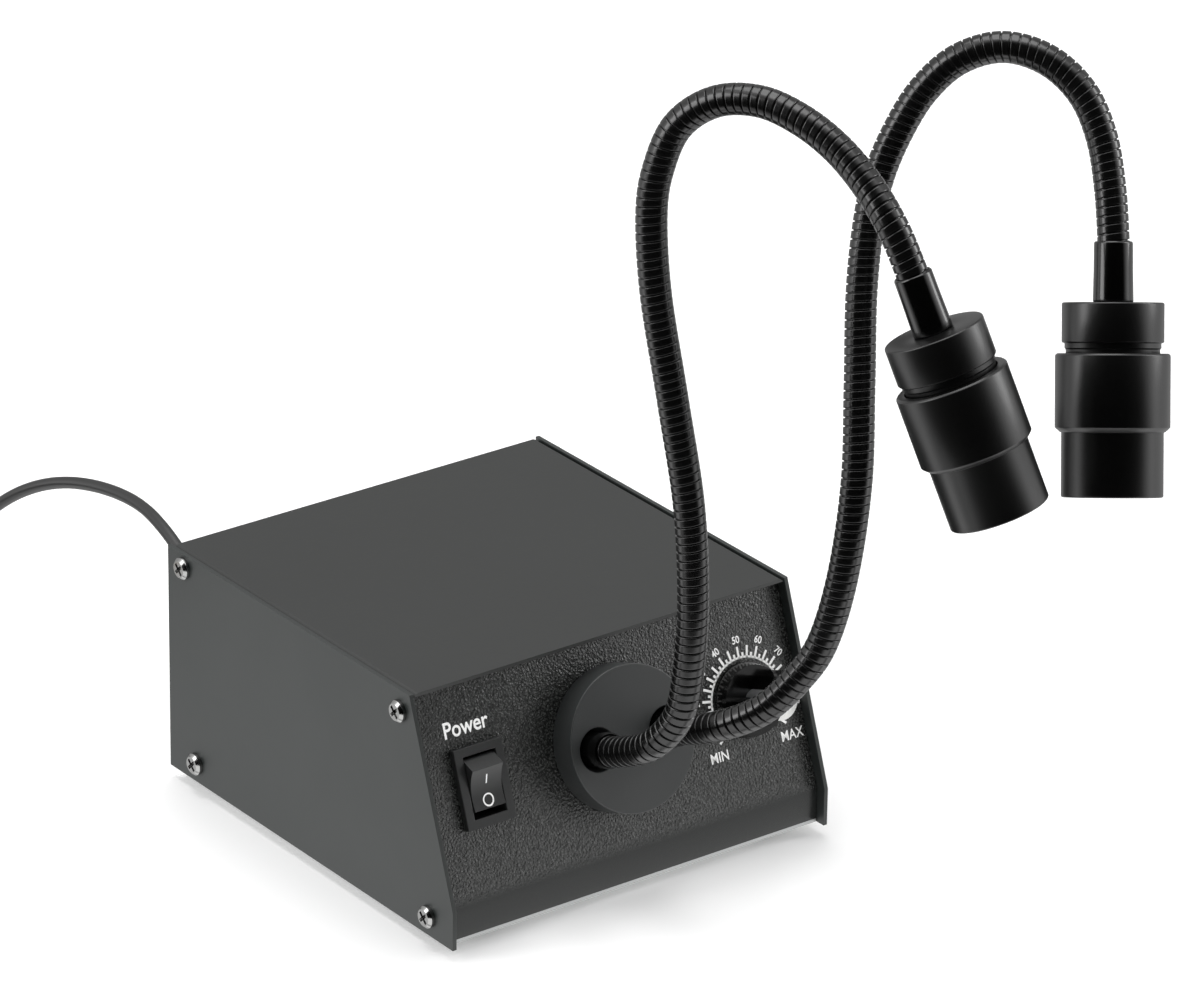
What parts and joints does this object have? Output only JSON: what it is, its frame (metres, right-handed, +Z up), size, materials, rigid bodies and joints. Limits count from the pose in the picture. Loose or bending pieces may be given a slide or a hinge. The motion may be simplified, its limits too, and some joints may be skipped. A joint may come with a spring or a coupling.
{
  "type": "dual gooseneck bench illuminator",
  "caption": "Bench light source with a sloped panel, rocker switch and dimmer knob, and goosenecks of strip-wound hose that end in focusing lamp heads",
  "frame": {"origin": "on the bench surface, below the middle of the housing's footprint", "axes": "+X to the right seen from the front, +Y to the back, +Z up"},
  "size_m": [0.2286, 0.4476, 0.2291],
  "materials": {
    "plate_paint": "satin charcoal paint",
    "panel_paint": "glossy black hammer-texture paint",
    "cover_paint": "satin dark grey paint",
    "bare_sheet": "bare zinc-coated sheet",
    "screw_chrome": "bright",
    "port_metal": "dark satin anodised",
    "bright_metal": "plain",
    "head_metal": "black satin anodised",
    "neck_metal": "gloss black",
    "hose_metal": "glossy black strip-wound steel",
    "fibre": "sleeved glass fibres",
    "optic": "polished",
    "board_green": "solder-masked board",
    "led_white": "board with light emitters",
    "component": "moulded electronic parts",
    "knob_plastic": "gloss black",
    "switch_plastic": "satin black",
    "brass": "plated",
    "spot_white": "white sticker",
    "foot_rubber": "matte black",
    "cord_rubber": "black, slightly glossy",
    "adapter_plastic": "fine-textured black"
  },
  "bodies": {
    "housing": {"side_plate_left": "plate_paint", "side_plate_right": "plate_paint", "side_screws": "screw_chrome", "front_panel": "panel_paint", "top_cover": "cover_paint", "base_tray": "bare_sheet", "rear_panel": "cover_paint", "feet": "foot_rubber", "foot_screws": "screw_chrome", "light_port_disc": "port_metal", "hose_ferrules": "bright_metal", "engine_block": "bright_metal", "collector_lenses": "optic", "led_board": "led_white", "heat_sink": "bright_metal", "engine_screws": "screw_chrome", "board_standoffs": "brass", "driver_board": "board_green", "driver_parts": "component", "pot_body": "component", "pot_nut": "screw_chrome", "dial_spot": "spot_white", "switch_housing": "switch_plastic", "switch_terminals": "brass", "cord_boot": "cord_rubber", "supply_cord": "cord_rubber", "cord_coil": "cord_rubber", "power_adapter": "adapter_plastic", "adapter_pins": "brass", "hose_root_left": "hose_metal", "bundle_root_left": "fibre", "hose_root_right": "hose_metal", "bundle_root_right": "fibre"},
    "knob": {"dimmer_knob": "knob_plastic", "pot_shaft": "bright_metal", "knob_set_screw": "screw_chrome"},
    "rocker": {"switch_rocker": "switch_plastic"},
    "left_riser": {"hose_riser_left": "hose_metal", "bundle_riser_left": "fibre", "hose_arch_left": "hose_metal", "bundle_arch_left": "fibre"},
    "left_head": {"hose_leg_left": "hose_metal", "bundle_leg_left": "fibre", "neck_ferrule_left": "neck_metal", "head_cap_left": "head_metal"},
    "left_focus": {"focus_sleeve_left": "head_metal", "head_lens_left": "optic", "lens_ring_left": "neck_metal"},
    "right_riser": {"hose_riser_right": "hose_metal", "bundle_riser_right": "fibre", "hose_arch_right": "hose_metal", "bundle_arch_right": "fibre"},
    "right_head": {"hose_leg_right": "hose_metal", "bundle_leg_right": "fibre", "neck_ferrule_right": "neck_metal", "head_cap_right": "head_metal"},
    "right_focus": {"focus_sleeve_right": "head_metal", "head_lens_right": "optic", "lens_ring_right": "neck_metal"}
  },
  "joints": [
    {"name": "knob_turn", "type": "hinge", "parent": "housing", "child": "knob", "pos_m": [0.0422, -0.05418, 0.04034], "axis": [0, 0.9416, -0.3368], "range_deg": [-188, 72]},
    {"name": "switch_rock", "type": "hinge", "parent": "housing", "child": "rocker", "pos_m": [-0.0425, -0.05163, 0.04006], "axis": [-1, 0, 0], "range_deg": [0, 26]},
    {"name": "left_arm_swing", "type": "hinge", "parent": "housing", "child": "left_riser", "pos_m": [-0.00562, -0.08738, 0.07169], "axis": [0, 0, 1], "range_deg": [-60, 0], "deforming": ["hose_root_left", "bundle_root_left"]},
    {"name": "left_arm_bend", "type": "hinge", "parent": "left_riser", "child": "left_head", "pos_m": [0.00741, -0.07618, 0.2211], "axis": [0.8849, 0.4143, -0.2128], "range_deg": [-35, 20], "deforming": ["hose_arch_left", "bundle_arch_left"]},
    {"name": "left_focus_slide", "type": "slide", "parent": "left_head", "child": "left_focus", "axis": [0.172, -0.3679, -0.9138], "range_m": [-0.0022, 0.006]},
    {"name": "right_arm_swing", "type": "hinge", "parent": "housing", "child": "right_riser", "pos_m": [0.0291, -0.09628, 0.07488], "axis": [0, 0, 1], "range_deg": [0, 60], "deforming": ["hose_root_right", "bundle_root_right"]},
    {"name": "right_arm_bend", "type": "hinge", "parent": "right_riser", "child": "right_head", "pos_m": [0.07433, -0.08725, 0.22031], "axis": [0.7604, 0.5617, -0.3261], "range_deg": [-35, 8], "deforming": ["hose_arch_right", "bundle_arch_right"]},
    {"name": "right_focus_slide", "type": "slide", "parent": "right_head", "child": "right_focus", "axis": [-0.2349, -0.3268, -0.9154], "range_m": [-0.0022, 0.006]}
  ]
}
